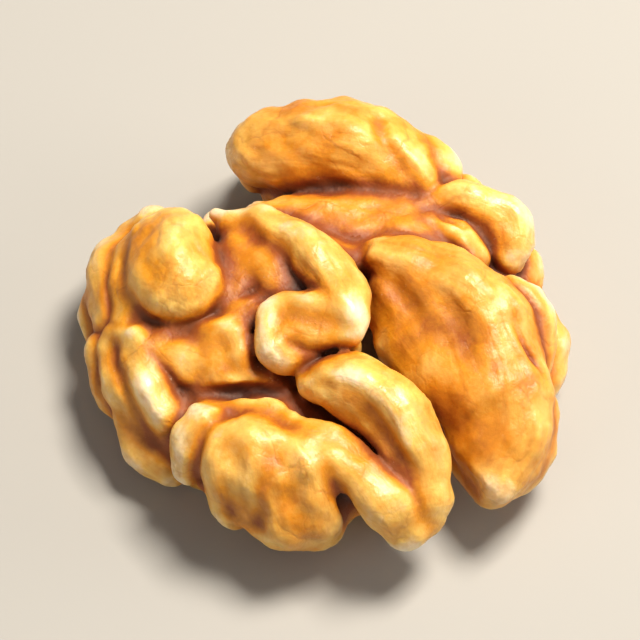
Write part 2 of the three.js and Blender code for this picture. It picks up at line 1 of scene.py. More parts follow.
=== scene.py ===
import math
import bpy
import numpy as np
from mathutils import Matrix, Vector


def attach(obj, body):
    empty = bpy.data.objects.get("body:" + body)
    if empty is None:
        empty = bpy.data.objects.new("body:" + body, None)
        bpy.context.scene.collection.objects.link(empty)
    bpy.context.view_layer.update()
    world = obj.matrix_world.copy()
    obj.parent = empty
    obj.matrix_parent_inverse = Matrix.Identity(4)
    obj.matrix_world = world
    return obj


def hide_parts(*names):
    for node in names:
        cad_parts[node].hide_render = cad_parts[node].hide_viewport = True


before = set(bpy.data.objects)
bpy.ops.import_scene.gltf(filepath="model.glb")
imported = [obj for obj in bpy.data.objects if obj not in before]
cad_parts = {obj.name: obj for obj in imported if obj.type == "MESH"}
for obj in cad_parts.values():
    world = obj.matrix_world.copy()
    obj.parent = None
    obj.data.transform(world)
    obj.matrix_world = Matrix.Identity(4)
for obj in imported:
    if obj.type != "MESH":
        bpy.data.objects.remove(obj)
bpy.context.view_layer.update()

scene = bpy.context.scene
scene.view_settings.view_transform = "Standard"

# The camera: it looks down on the kernel from the side of the open cleft, a little from the left,
# with a long lens, so that the kernel lies in the frame as the photograph shows it.
VIEW_TURN = math.radians(32.7)
VIEW_RISE = math.radians(60.0)
FRAME_WIDTH = 0.0405  # metres, at the kernel
AIM = Vector((0.0001, 0.0013, 0.0049))
LENS = 200.0
SENSOR = 36.0

to_camera = Vector((
    -math.sin(VIEW_TURN) * math.cos(VIEW_RISE),
    -math.cos(VIEW_TURN) * math.cos(VIEW_RISE),
    math.sin(VIEW_RISE),
))
camera_data = bpy.data.cameras.new("camera")
camera_data.lens = LENS
camera_data.sensor_width = SENSOR
camera_data.clip_start = 0.01
camera_data.clip_end = 10.0
camera = bpy.data.objects.new("camera", camera_data)
camera.location = AIM + to_camera * (FRAME_WIDTH * LENS / SENSOR)
camera.rotation_mode = "QUATERNION"
camera.rotation_quaternion = (-to_camera).to_track_quat("-Z", "Y")
scene.collection.objects.link(camera)
scene.camera = camera

# The studio: a plain pale tabletop, one soft lamp high to the right, a low weak one that pales the
# edges on that side, a weaker one from the left, and an even white sky.
TABLE_SIZE = 1.2
table_mesh = bpy.data.meshes.new("tabletop")
half = TABLE_SIZE / 2
table_corners = [(-half, -half, 0), (half, -half, 0), (half, half, 0), (-half, half, 0)]
table_mesh.from_pydata(table_corners, [], [(0, 1, 2, 3)])
tabletop = bpy.data.objects.new("tabletop", table_mesh)
scene.collection.objects.link(tabletop)
table_finish = bpy.data.materials.new("pale_tabletop")
table_finish.use_nodes = True
table_shader = table_finish.node_tree.nodes["Principled BSDF"]
table_shader.inputs["Base Color"].default_value = (0.42, 0.40, 0.37, 1)
table_shader.inputs["Roughness"].default_value = 0.7
table_mesh.materials.append(table_finish)

LAMPS = [
    # name, place, size, power, colour
    ("key_lamp", (0.15, 0.015, 0.335), 0.12, 2.35, (1.0, 0.94, 0.84)),
    ("side_lamp", (-0.34, -0.02, 0.20), 0.22, 0.22, (1.0, 0.97, 0.93)),
    ("low_lamp", (0.27, -0.17, 0.12), 0.16, 0.33, (1.0, 0.97, 0.92)),
]
for name, place, size, power, colour in LAMPS:
    lamp_data = bpy.data.lights.new(name, "AREA")
    lamp_data.size = size
    lamp_data.energy = power
    lamp_data.color = colour
    lamp = bpy.data.objects.new(name, lamp_data)
    lamp.location = place
    lamp.rotation_mode = "QUATERNION"
    lamp.rotation_quaternion = (-Vector(place)).to_track_quat("-Z", "Y")
    scene.collection.objects.link(lamp)
sky = bpy.data.worlds.new("sky")
scene.world = sky
sky.use_nodes = True
sky.node_tree.nodes["Background"].inputs["Color"].default_value = (1.0, 0.98, 0.95, 1)
sky.node_tree.nodes["Background"].inputs["Strength"].default_value = 0.17

# The kernel: half a walnut, grown in one piece. Two lobes of folded seed leaf, joined by a bridge over
# the open cleft. The outer face is deeply folded, as it filled the wrinkles of the shell, and the
# inner face has ribs that fan out to the rim. Here every fold is a smooth line of balls, in mm.
DIAMETER = 26.2  # the rim of the inner face
LOBE_OFFSET = 4.5  # from the midline to the middle of each lobe
RIBS_PER_LOBE = 7
REST_LEVEL = 0.42  # the lowest ribs are worn flat at this height
MIDDLE = (-0.135, -1.294)  # the middle of the kernel's outline
GRID = 0.2  # between the points at which the form is worked out
WAVER = 0.16  # how far the folds stray from their smooth lines, and over what length
WAVER_LENGTH = 5.0

# The bodies under the folds: (name, seam width, [(x, y, height, radius), ...]).
BODIES = [
    ("left_body", 1.4, [
        (-6.2, 7.2, 4.9, 2.9), (-7.2, 1, 5.4, 3.3), (-6.6, -5.2, 5, 3.1),
        (-4.6, -9.6, 4.2, 2.4)
    ]),
    ("left_rim", 1.4, [
        (-7, 8.6, 4.2, 2.2), (-10.2, 4.6, 4.2, 2.3), (-10.8, -0.4, 4.2, 2.3),
        (-9.6, -5.8, 3.8, 2.2), (-6.8, -9.8, 3.4, 2)
    ]),
    ("right_body", 1.4, [
        (5.4, 7.4, 5.2, 3), (7, 2, 5.3, 3.3), (6.6, -4.6, 5.1, 3.3), (5.6, -9.6, 4.3, 2.7)
    ]),
    ("right_rim", 1.4, [
        (4.4, 10.2, 4.6, 2.2), (8.8, 7.4, 4.6, 2.4), (10.8, 2, 4.4, 2.4),
        (10.4, -4, 4.2, 2.3), (8.6, -9.4, 3.6, 2.1)
    ]),
    ("bridge_body", 1.4, [(-6, 2.6, 5.6, 2.4), (-2.4, 2.6, 6, 2.5), (2, 1.8, 6, 2.5), (6, 1, 5.6, 2.4)]),
    ("bridge_root", 1, [(-2.6, 4.4, 6.8, 1.8), (-1.4, 1, 7.6, 2.2), (-1.2, -2.6, 7.6, 2.2)]),
    ("left_middle", 1, [
        (-8.4, 1.6, 5.8, 2), (-5.6, -1.6, 6.2, 1.9), (-5.6, -4.4, 5.4, 1.8),
        (-4.2, -7.6, 5.4, 1.9), (-3.4, -10.2, 4.6, 1.7)
    ]),
]
# The folds of the outer face, as drawn from the camera's side: (across, up, height, radius).
SEEN_FOLDS = [
    ("back_ridge", 0.3, [
        (-4.6, 13.7, 7, 1.5), (-3.6, 13.6, 7.1, 2.3), (-2, 13.6, 7.4, 2.9),
        (0.3, 13.6, 7.8, 3.2), (2.7, 13.4, 8, 3.1), (5, 12.5, 7.9, 2.4),
        (6.5, 11.2, 7.7, 1.5)
    ]),
    ("back_ridge_end", 0.3, [(5.8, 13.5, 7.2, 1.6), (7.4, 12.5, 7.4, 1.5), (8.1, 11.6, 7.4, 1)]),
    ("shoulder", 0.3, [
        (6.8, 10, 8, 0.6), (8.1, 10.2, 7.9, 1.1), (9.7, 9.9, 7.6, 1.6), (11.4, 8.7, 7, 1.8),
        (12.2, 7.2, 6.6, 1.5)
    ]),
    ("shelf", 0.7, [
        (-3.5, 8.8, 6.9, 1.5), (-1.1, 8.9, 7, 1.8), (1.6, 9, 7.1, 1.8),
        (4.3, 9.1, 7.2, 1.8), (6.8, 8.6, 7, 1.6)
    ]),
    ("shelf_front", 0.9, [
        (-2.2, 7.5, 6.9, 1.6), (0.5, 7.3, 7, 1.8), (3.2, 7.4, 7.2, 1.8),
        (5.9, 7.2, 7.2, 1.7), (8.9, 6.9, 6.6, 1.6)
    ]),
    ("shoulder_inner", 0.2, [(6.8, 8.5, 7.9, 1), (8.4, 7.8, 7.9, 1.2), (9.6, 6.6, 7.4, 1.2)]),
    ("front_top", 0.5, [
        (3.8, 6.6, 9, 1.4), (5.9, 5.7, 9, 1.9), (8.1, 4.8, 8.8, 2.4), (10, 3.1, 8.4, 2.7),
        (11.1, 0.7, 7.8, 2.7), (11.6, -2, 7, 2.6), (11.9, -4.4, 6.2, 2.4),
        (11.1, -6.7, 5.2, 2.1)
    ]),
    ("front_inner", 0.8, [
        (4, 4.2, 7.6, 1.2), (4.4, 2.3, 7, 1.4), (5.1, 0.4, 6.4, 1.5), (6.4, -1.7, 5.8, 1.3)
    ]),
    ("front_wall", 1.2, [
        (4.7, 4.1, 7.8, 1.6), (6.4, 1.8, 7.3, 2.3), (7.8, -0.6, 6.7, 2.3),
        (8.8, -3.4, 5.8, 2.1), (9.6, -5.8, 4.6, 1.8), (10.4, -7.5, 3.6, 1.4)
    ]),
    ("front_fill", 1.2, [
        (7.6, 2.9, 7.6, 2.5), (8.9, 0.4, 7, 2.8), (9.7, -2, 6.3, 2.8),
        (10.1, -4.2, 5.6, 2.5)
    ]),
    ("side_fold", 0.3, [
        (11.9, 4.4, 8, 1), (13.1, 3.3, 7.4, 1.4), (13.7, 1.6, 6.8, 1.4),
        (13.7, 0.2, 6.2, 1.2), (13.6, -1, 5.6, 0.9)
    ]),
    ("front_outer", 0.4, [(13.2, -3.2, 5.2, 1.7), (13, -5.2, 4.6, 1.6), (12, -7.1, 4, 1.4)]),
    ("bridge", 0.3, [
        (-6.6, 9.4, 8, 0.49), (-5.4, 8.9, 8.4, 0.8), (-3.5, 8.5, 9.2, 1.2),
        (-1.9, 7.6, 9.8, 1.5), (-0.3, 6.4, 10.2, 1.7), (1, 4.8, 10.5, 1.8),
        (1.5, 3.1, 10.5, 1.7), (1.6, 2.1, 10.3, 1.3)
    ]),
    ("bridge_face", 0.5, [
        (-5.6, 8.2, 7.9, 1.1), (-4.6, 6.9, 8.5, 1.4), (-3.2, 5.7, 9, 1.5),
        (-2.4, 4.5, 9.1, 1.3)
    ]),
    ("bridge_fold_top", 0.3, [(-2, 3.3, 10, 1.1), (-0.3, 3.3, 10.7, 1.3), (1.5, 2.9, 10.6, 1.4)]),
    ("bridge_fold_mid", 0.6, [(-1.8, 2, 10.1, 1.2), (-0.3, 1.8, 10.2, 1.2), (1.2, 1.8, 10.1, 1.1)]),
    ("bridge_fold_low", 0.3, [
        (-2.6, 2.9, 10, 1.2), (-2.9, 1.6, 9.8, 1.2), (-2.2, 0.4, 9.4, 1.2),
        (-1, 0.5, 9.2, 1)
    ]),
    ("bridge_back", 0.6, [(-1.1, 7.2, 8.2, 1.4), (1.1, 6.4, 8.4, 1.4), (2.7, 6.4, 8, 1.2)]),
    ("knob", 0.25, [(-9.4, 7.3, 8, 2.5), (-9.1, 5.9, 8.6, 3), (-8.6, 5, 8.8, 2.8)]),
    ("knob_root", 0.7, [(-11.6, 6.6, 6.9, 1.4), (-11.8, 5, 6.9, 1.5), (-11.4, 3.4, 6.9, 1.5)]),
    ("knob_floor", 0.8, [(-11.8, 2.1, 6.7, 1.2), (-9.9, 1.3, 7.1, 1.1), (-7.6, 2.2, 7.5, 1.2)]),
    ("tip_edge", 0.35, [
        (-11.8, 8.1, 5, 1.1), (-12.9, 6.6, 5.4, 1.6), (-13.5, 4.8, 5.6, 1.5),
        (-13.2, 3, 5.6, 1.4), (-13, 2.1, 5.4, 0.9)
    ]),
    ("bump_c", 0.3, [(-12.6, 1.5, 6.4, 0.9), (-11.5, 1.5, 7.4, 1.1)]),
    ("side_band", 0.6, [
        (-13, 0.4, 5.6, 1.2), (-12.6, -0.9, 5.4, 1.4), (-11.7, -2.3, 5, 1.5),
        (-10.8, -3.8, 4.2, 1.4), (-10.1, -5, 3.2, 1.1)
    ]),
    ("side_inner", 0.7, [(-11.3, 0.3, 6.9, 1.4), (-10.5, -1.2, 6.8, 1.5), (-9.6, -2.9, 6.2, 1.4)]),
    ("bump_b", 0.5, [(-9.9, 0.7, 7.4, 0.9), (-8.5, 0.4, 7.8, 1.1), (-8.2, -0.3, 7.5, 0.9)]),
    ("bump_a", 0.5, [
        (-6.9, 1.5, 8.1, 1), (-5.6, 1.6, 8.5, 1.2), (-5, 0.7, 8.3, 1.2),
        (-4.9, -0.1, 7.9, 1)
    ]),
    ("bump_fill", 0.7, [(-7.4, 0.3, 7.7, 1), (-6.4, 0.3, 7.9, 1.1)]),
    ("floor", 0.8, [
        (-5.4, 6.4, 8.1, 1.5), (-5.1, 5, 8.2, 1.6), (-5.5, 3.3, 7.9, 1.5),
        (-4.1, 2.9, 8.2, 1.4)
    ]),
    ("gap_floor", 0.6, [(-6.7, 8.7, 5.6, 0.9), (-6.6, 7.6, 6, 1), (-6.4, 6.4, 6.4, 1.1)]),
    ("floor_bump", 0.4, [(-5.4, 5.5, 8.5, 0.49), (-4.7, 5.9, 8.5, 0.43)]),
    ("fan_slope", 0.9, [(-6.8, -3.4, 6.9, 1.2), (-4.6, -3.4, 7, 1.3), (-2.2, -3.6, 7.2, 1.3)]),
    ("finger_1", 0.35, [(-7.2, -3.6, 7.8, 1.2), (-8.1, -5, 6.8, 1.4), (-8.2, -6.3, 5.2, 1.1)]),
    ("finger_2", 0.8, [
        (-5.2, -5, 7.7, 1.7), (-5.6, -6.5, 6.8, 1.7), (-5.6, -8.2, 5.2, 1.6),
        (-5.4, -9, 3.8, 1.2)
    ]),
    ("finger_3", 1.3, [
        (-3.2, -5.4, 7.8, 2.1), (-3.2, -7.1, 7, 2.2), (-2.6, -9, 5.4, 2),
        (-2.2, -10.1, 3.8, 1.6)
    ]),
    ("finger_4", 1.3, [
        (-1.1, -5.7, 7.8, 1.9), (-0.8, -7.1, 7, 2), (-0.5, -9, 5.6, 1.9),
        (-0.1, -10.1, 4, 1.4)
    ]),
    ("ridge", 0.6, [
        (-1.4, -3.8, 8.2, 0.9), (0.6, -5.2, 8.2, 1.4), (2.4, -6.8, 7.6, 1.6),
        (4.1, -8.5, 6.6, 1.7), (5.1, -9.8, 5.4, 1.6)
    ]),
    ("end_lobe", 0.8, [(4.5, -6.5, 7.2, 1.1), (5, -7.9, 6.7, 1.5), (5.3, -9.3, 5.6, 1.5)]),
    ("flap", 0.3, [
        (-0.4, -1.2, 8.7, 1.1), (1.2, -1.3, 9.2, 1.7), (3, -2, 9.3, 2.3),
        (4.5, -3.3, 8.9, 2.3), (5.5, -5.1, 8.1, 2.1), (6.3, -7.1, 7, 1.7),
        (6.4, -9, 5.6, 1.5), (5.4, -9.9, 4.4, 1.5)
    ]),
]
# The folds down the far sides, (x, y, height, radius).
HIDDEN_FOLDS = [
    ("back_a", 0.3, [(2.7, 12, 5.2, 1.3), (3.6, 12.5, 4.2, 1.6), (4.4, 12.6, 2.9, 1.6)]),
    ("back_b", 0.3, [(4.9, 11.3, 6.4, 1.8), (6.6, 11.7, 5, 1.8), (7.4, 11, 3.2, 1.8)]),
    ("back_c", 0.3, [(8, 9.9, 6.5, 1.7), (9.8, 9.5, 4.9, 1.8), (10, 8.2, 3.1, 1.8)]),
    ("back_d", 0.3, [(10.9, 7, 5.6, 1.6), (12.2, 5.6, 4.4, 1.6), (11.8, 4.4, 3, 1.7)]),
    ("side_a", 0.3, [(12.6, 3.2, 5.2, 1.4), (13.3, 1.2, 3.9, 1.5), (12.4, -0.2, 2.8, 1.6)]),
    ("side_b", 0.3, [(13.3, -1.2, 4.6, 1.3), (13, -3.2, 3.6, 1.5), (12, -4.8, 2.6, 1.6)]),
    ("side_c", 0.3, [(12, -6.2, 3.7, 1.5), (11.6, -8.2, 2.7, 1.6), (10.4, -9.4, 2.4, 1.6)]),
    ("tip_a", 0.3, [(-5.4, 11.2, 5.8, 1.6), (-6.9, 11.5, 4.4, 1.7), (-8.3, 10.4, 2.9, 1.7)]),
    ("tip_b", 0.3, [(-9.4, 9.7, 4.4, 1.6), (-11.2, 7.9, 3.6, 1.7), (-11.2, 6, 2.7, 1.7)]),
    ("tip_c", 0.3, [(-12.3, 5.6, 4.2, 1.5), (-12.9, 3.5, 3.4, 1.6), (-12.2, 1.8, 2.6, 1.6)]),
    ("tip_d", 0.3, [(-13.3, 1.2, 3.9, 1.4), (-13.5, -0.9, 3.2, 1.5), (-12.8, -2.4, 2.5, 1.6)]),
]
# The open cleft between the lobes, at three heights.
CLEFT = [
    ("cleft_high", 0.5, [
        (-0.2, -6, 7.8, 0.4), (0.55, -7.2, 7.2, 0.6), (1.05, -9.6, 6.6, 0.75),
        (0.85, -12.4, 5.4, 0.6), (0.5, -16, 4, 0.8)
    ]),
    ("cleft_deep", 0.5, [
        (0.1, -6.2, 6.2, 0.5), (0.95, -9.3, 5, 0.8), (0.75, -12.2, 3.8, 0.7),
        (0.5, -17, 2.6, 1)
    ]),
    ("cleft_middle", 0.5, [
        (0.2, -6.2, 5, 0.6), (0.8, -9, 3.6, 0.9), (1, -12, 2.2, 1.1), (1.3, -18, 1, 1.8)
    ]),
    ("cleft_low", 0.8, [
        (0.2, -5.4, 1.2, 0.8), (0.8, -8.5, 0.6, 1.1), (1, -12, 0.2, 1.4),
        (1.3, -18, -0.5, 2.2)
    ]),
]
# Grooves between the folds, as drawn.
GROOVES = [
    ("notch", 0.3, [
        (1.1, -7.4, 7.2, 0.19), (1.5, -8.4, 6.4, 0.46), (1.9, -9.6, 5, 0.7),
        (2.4, -11.2, 3.4, 1.1)
    ]),
    ("notch_low", 0.3, [(1.7, -9.6, 3, 0.43), (2.4, -11.5, 1.2, 1)]),
    ("long_groove", 0.5, [
        (-8.5, -1.5, 7.6, 0.24), (-6.9, -1.6, 7.9, 0.41), (-4.6, -1.7, 8, 0.51),
        (-2.6, -1.8, 8, 0.49), (-1.1, -2.7, 8.2, 0.35), (1.1, -3.9, 8.2, 0.32),
        (2.7, -5, 8.1, 0.3), (3.6, -5.6, 8.2, 0.16)
    ]),
    ("back_cut", 0.8, [
        (3.8, 15.5, 10.9, 0.16), (4, 14.4, 11, 0.27), (4.4, 13.3, 10.7, 0.3),
        (5.1, 12.1, 10, 0.3), (6, 11, 9.1, 0.22)
    ]),
    ("side_groove", 0.25, [
        (12.5, 4.5, 8.2, 0.14), (12.8, 2.9, 8, 0.19), (12.6, 1.2, 7.6, 0.19),
        (13.2, -0.6, 6.6, 0.22), (14.3, -1.9, 5.4, 0.32)
    ]),
    ("side_groove_low", 0.25, [(14.5, -1.9, 5, 0.32), (13.8, -2.1, 5.8, 0.22), (13.1, -2.1, 6.6, 0.14)]),
    ("cleft_head", 0.3, [
        (2.8, 3.4, 9.4, 0.16), (3, 1.8, 8.8, 0.22), (2.9, 0.7, 8.4, 0.24),
        (1.4, 0.4, 8, 0.19)
    ]),
    ("front_vein", 0.35, [
        (10.9, 0.4, 10.2, 0.08), (10.4, -0.6, 9.9, 0.19), (10, -1.7, 9.5, 0.19),
        (9.1, -3.1, 8.5, 0.14), (8.1, -4.4, 7.4, 0.05)
    ]),
    ("side_crease", 0.3, [
        (11.9, 3.9, 10.6, 0.11), (12.3, 2.3, 10.3, 0.19), (12.8, 0.7, 9.6, 0.19),
        (13.5, -0.6, 9, 0.14)
    ]),
    ("back_long", 0.35, [
        (-2.2, 14.9, 10.5, 0.08), (-0.3, 14.6, 11.1, 0.16), (2.2, 14.5, 11.3, 0.16),
        (3.5, 13.9, 11, 0.08)
    ]),
    ("flute_1", 0.8, [
        (-5.4, -4, 9.9, 0.11), (-6.2, -5.8, 9.2, 0.22), (-6.2, -7.7, 7.8, 0.24),
        (-5.9, -9.3, 5.9, 0.32)
    ]),
    ("flute_2", 0.8, [
        (-2.7, -5, 10.1, 0.11), (-3.5, -7.1, 9.1, 0.22), (-3.9, -8.8, 7.8, 0.24),
        (-4, -10.1, 6, 0.38)
    ]),
    ("shoulder_crease", 0.3, [(7.2, 9.9, 8.8, 0.11), (7.6, 9.1, 8.9, 0.22), (8.9, 8.5, 8.9, 0.16)]),
    ("flap_dish", 1, [
        (0, -1.1, 10.7, 0.16), (1.4, -2.1, 11, 0.32), (3, -3.4, 10.6, 0.35),
        (4.3, -5, 9.8, 0.27), (5.4, -6.9, 8.9, 0.11)
    ]),
]


def from_drawing(path):
    """Points of the drawing, (across, up, height, radius), in the kernel's own plan."""
    rows = []
    for across, up, height, radius in path:
        along = (up - height * math.cos(VIEW_RISE)) / math.sin(VIEW_RISE)
        x = across * math.cos(VIEW_TURN) + along * math.sin(VIEW_TURN)
        y = along * math.cos(VIEW_TURN) - across * math.sin(VIEW_TURN)
        rows.append((x, y, height, radius))
    return rows


def sweep(path, steps):
    """A smooth curve through the points, cut into short straight pieces."""
    p = np.array(path, float)
    p = np.vstack([2 * p[0] - p[1], p, 2 * p[-1] - p[-2]])
    line = []
    for a, b, c, d in zip(p, p[1:], p[2:], p[3:]):
        for t in np.arange(steps) / steps:
            bend = (2 * a - 5 * b + 4 * c - d) * t * t
            line.append(0.5 * (2 * b + (c - a) * t + bend + (3 * b - a - 3 * c + d) * t ** 3))
    line.append(p[-2])
    return np.array(line)


def unrest(seed, count, length, x, y, z):
    """Waves in many directions, of about that length, which add up to an unrest of about 1."""
    total = 0
    for i in range(1, count + 1):
        rise = 2 * ((0.618034 * i + 0.414214 * seed) % 1) - 1
        turn = 2 * math.pi * ((0.754878 * i + 0.56984 * seed) % 1)
        flat = math.sqrt(1 - rise * rise)
        k = 2 * math.pi / (length * (0.75 + 0.6 * ((0.324718 * i + 0.236068 * seed) % 1)))
        phase = 2 * math.pi * ((0.445042 * i * (seed + 1)) % 1)
        ahead = flat * math.cos(turn) * x + flat * math.sin(turn) * y + rise * z
        total = total + np.sin(k * ahead + phase)
    return total / math.sqrt(count)


def join(a, b, width):
    """The union of two distances, with a rounded seam of that width."""
    h = np.clip(width - np.abs(a - b), 0, None) / width
    return np.minimum(a, b) - 0.25 * h * h * width


def inner_face():
    """Ribs that fan out from the middle of each lobe to the rim, and the furrows between them."""
    fan_start = 104
    fan_sweep = 150
    fan_waver = 5
    rim_waver = 0.4
    rim_margin = 1.9
    # (share of the way to the rim, height, radius)
    rib_shape = [(0.3, 4.2, 1.7), (0.65, 2.9, 1.9), (1.0, 2.1, 2.1)]
    furrow_shape = [(0.35, 2.2, 0.3), (0.7, 1.0, 0.45), (1.05, 0.4, 0.6), (1.35, 0.6, 0.9)]
    ribs = []
    furrows = []
    count = 2 * RIBS_PER_LOBE - 1
    for side in (-1, 1):
        for i in range(count):
            turned = fan_start + fan_sweep * i / (count - 1) + fan_waver * math.sin(2.3 * i + side)
            angle = math.radians(turned)
            dx = -side * math.cos(angle)
            dy = math.sin(angle)
            cx = side * LOBE_OFFSET
            cy = -0.5
            rim = DIAMETER / 2 + rim_waver * math.sin(1.7 * i + side)
            b = cx * dx + cy * dy
            length = math.sqrt(b * b - cx * cx - cy * cy + rim * rim) - b - rim_margin
            is_furrow = i % 2 == 1
            shape = furrow_shape if is_furrow else rib_shape
            path = [(cx + dx * length * s, cy + dy * length * s, z, r) for s, z, r in shape]
            (furrows if is_furrow else ribs).append(path)
    return ribs, furrows


# Everything that grows on the kernel (1) or cuts into it (-1), in order: (seam width, line, 1 or -1).
RIB_SEAM = 0.8
FURROW_SEAM = 0.5
ribs, furrows = inner_face()
growth = [(blend, sweep(path, 4), 1) for _, blend, path in BODIES]
growth += [(RIB_SEAM, sweep(path, 3), 1) for path in ribs]
growth += [(FURROW_SEAM, sweep(path, 3), -1) for path in furrows]
growth += [(blend, sweep(from_drawing(path), 5), 1) for _, blend, path in SEEN_FOLDS]
growth += [(blend, sweep(path, 5), 1) for _, blend, path in HIDDEN_FOLDS]
growth += [(blend, sweep(path, 5), -1) for _, blend, path in CLEFT]
growth += [(blend, sweep(from_drawing(path), 5), -1) for _, blend, path in GROOVES]

# The form is kept as distances to its surface, in mm, at the points of a grid round the kernel. Each
# point of the grid also knows the fold that is nearest to it, and how far the next one is.
low = np.array([-16.0, -17.6, -1.0])
room = np.array([31.6, 33.2, 14.2])
size = np.ceil(room / GRID).astype(int) + 1
axes = [low[k] + GRID * np.arange(size[k]) for k in range(3)]
PX, PY, PZ = np.meshgrid(*axes, indexing="ij")
WX, WY, WZ = (
    P + WAVER * unrest(seed, 7, WAVER_LENGTH, PX, PY, PZ) for seed, P in ((10, PX), (11, PY), (12, PZ))
)
form = np.full(size, 4.0)
nearest = np.full(size, 9.0, np.float32)
second = np.full(size, 9.0, np.float32)
owner = np.zeros(size, np.int16)
REACH = 2.4  # how far round a fold its distances are worked out
for n, (blend, line, way) in enumerate(growth):
    first = (line[:, :3] - line[:, 3:]).min(0) - REACH - low
    last = (line[:, :3] + line[:, 3:]).max(0) + REACH - low
    i0 = np.clip(np.floor(first / GRID).astype(int), 0, size)
    i1 = np.clip(np.ceil(last / GRID).astype(int) + 1, 0, size)
    part = tuple(slice(i0[k], i1[k]) for k in range(3))
    X, Y, Z = WX[part], WY[part], WZ[part]
    if X.size == 0:
        continue
    best = np.full(X.shape, 1e3)
    for a, b in zip(line[:-1], line[1:]):
        u = b - a
        t = ((X - a[0]) * u[0] + (Y - a[1]) * u[1] + (Z - a[2]) * u[2]) / max(u[:3] @ u[:3], 1e-9)
        t = np.clip(t, 0, 1)
        far = np.sqrt((X - a[0] - t * u[0]) ** 2 + (Y - a[1] - t * u[1]) ** 2 + (Z - a[2] - t * u[2]) ** 2)
        np.minimum(best, far - a[3] - t * u[3], out=best)
    form[part] = join(form[part], best, blend) if way > 0 else -join(-form[part], best, blend)
    if way > 0:
        owner[part] = np.where(best < nearest[part], n, owner[part])
        second[part] = np.minimum(second[part], np.maximum(best, nearest[part]))
        nearest[part] = np.minimum(best, nearest[part])

# The surface is taken from those distances: a point in each cell that it passes, and a face across
# each grid edge that it crosses. A cell whose corners pair off crosswise is filled first.
corners = [(c & 1, (c >> 1) & 1, (c >> 2) & 1) for c in range(8)]


def hangs_together(members):
    """Whether these corners of a cell are all joined along its edges."""
    reached = set(members[:1])
    for _ in range(4):
        reached |= {c ^ bit for c in reached for bit in (1, 2, 4) if c ^ bit in members}
    return len(reached) == len(members)


simple = np.array([
    hangs_together([c for c in range(8) if pattern >> c & 1])
    and hangs_together([c for c in range(8) if not pattern >> c & 1])
    for pattern in range(256)
])


def corner(grid, c):
    """One corner of every cell, as a grid of the cells."""
    return grid[tuple(slice(c[k], grid.shape[k] - 1 + c[k]) for k in range(3))]


while True:
    pattern = sum((corner(form, c) < 0).astype(int) << n for n, c in enumerate(corners))
    odd = np.argwhere(~simple[pattern])
    if not len(odd):
        break
    near = np.array([form[tuple((odd + c).T)] for c in corners])
    pick = np.argmin(np.where(near < 0, 9.0, near), 0)
    form[tuple((odd + np.array(corners)[pick]).T)] = -0.01

inside = form < 0
cells = np.argwhere((pattern > 0) & (pattern < 255))
number = np.full(pattern.shape, -1)
number[tuple(cells.T)] = np.arange(len(cells))
total = np.zeros((len(cells), 3))
hits = np.zeros(len(cells))
for c in corners:
    for axis in range(3):
        if c[axis]:
            continue
        d = np.array(c)
        d[axis] = 1
        here = form[tuple((cells + c).T)]
        there = form[tuple((cells + d).T)]
        crossed = (here < 0) != (there < 0)
        spot = np.tile(np.array(c, float), (len(cells), 1))
        spot[:, axis] += np.where(crossed, here / np.where(crossed, here - there, 1), 0)
        total[crossed] += spot[crossed]
        hits[crossed] += 1
points = cells + total / hits[:, None]

quads = []
for axis in range(3):
    u = np.eye(3, dtype=int)[(axis + 1) % 3]
    v = np.eye(3, dtype=int)[(axis + 2) % 3]
    step = np.eye(3, dtype=int)[axis]
    a = inside[tuple(slice(1, n - 1) for n in size)]
    b = inside[tuple(slice(1 + step[k], size[k] - 1 + step[k]) for k in range(3))]
    at = np.argwhere(a != b) + 1
    ring = np.stack([number[tuple((at - s).T)] for s in (u + v, v, 0 * u, u)], 1)
    out = inside[tuple(at.T)]
    ring[~out] = ring[~out][:, ::-1]
    quads.append(ring)
quads = np.concatenate(quads)


def sample(grid, where):
    """Values of a grid at points between its nodes."""
    base = np.clip(np.floor(where).astype(int), 0, np.array(grid.shape) - 2)
    t = where - base
    value = 0
    for c in corners:
        weight = np.prod(np.where(c, t, 1 - t), axis=1)
        value = value + weight * grid[tuple((base + c).T)]
    return value


def slope_at(where):
    """The slope of the distances at points between the nodes: the way out of the kernel."""
    return np.stack([sample(form, where + 0.5 * e) - sample(form, where - 0.5 * e) for e in np.eye(3)], 1)


# Each point moves onto the surface in small steps, and stays a little inside its own cell.
SETTLING_STEPS = 2
SETTLING_SHARE = 0.7
CELL_EDGE = 0.05
for _ in range(SETTLING_STEPS):
    slope = slope_at(points)
    steep = np.maximum((slope ** 2).sum(1), 0.25 * GRID ** 2)
    points = points - SETTLING_SHARE * (sample(form, points) / steep)[:, None] * slope
    points = np.clip(points, cells + CELL_EDGE, cells + (1 - CELL_EDGE))

# Loose crumbs and closed hollows are separate shells: only the largest shell stays.
label = np.arange(len(points))
edges = np.concatenate([quads[:, [0, 1]], quads[:, [1, 2]], quads[:, [2, 3]], quads[:, [3, 0]]])
while True:
    least = np.minimum(label[edges[:, 0]], label[edges[:, 1]])
    new = label.copy()
    np.minimum.at(new, edges[:, 0], least)
    np.minimum.at(new, edges[:, 1], least)
    new = new[new]
    if (new == label).all():
        break
    label = new
names, counts = np.unique(label, return_counts=True)
kept = label == names[counts.argmax()]
renumber = np.cumsum(kept) - 1
quads = renumber[quads[kept[quads[:, 0]]]]
points = points[kept]

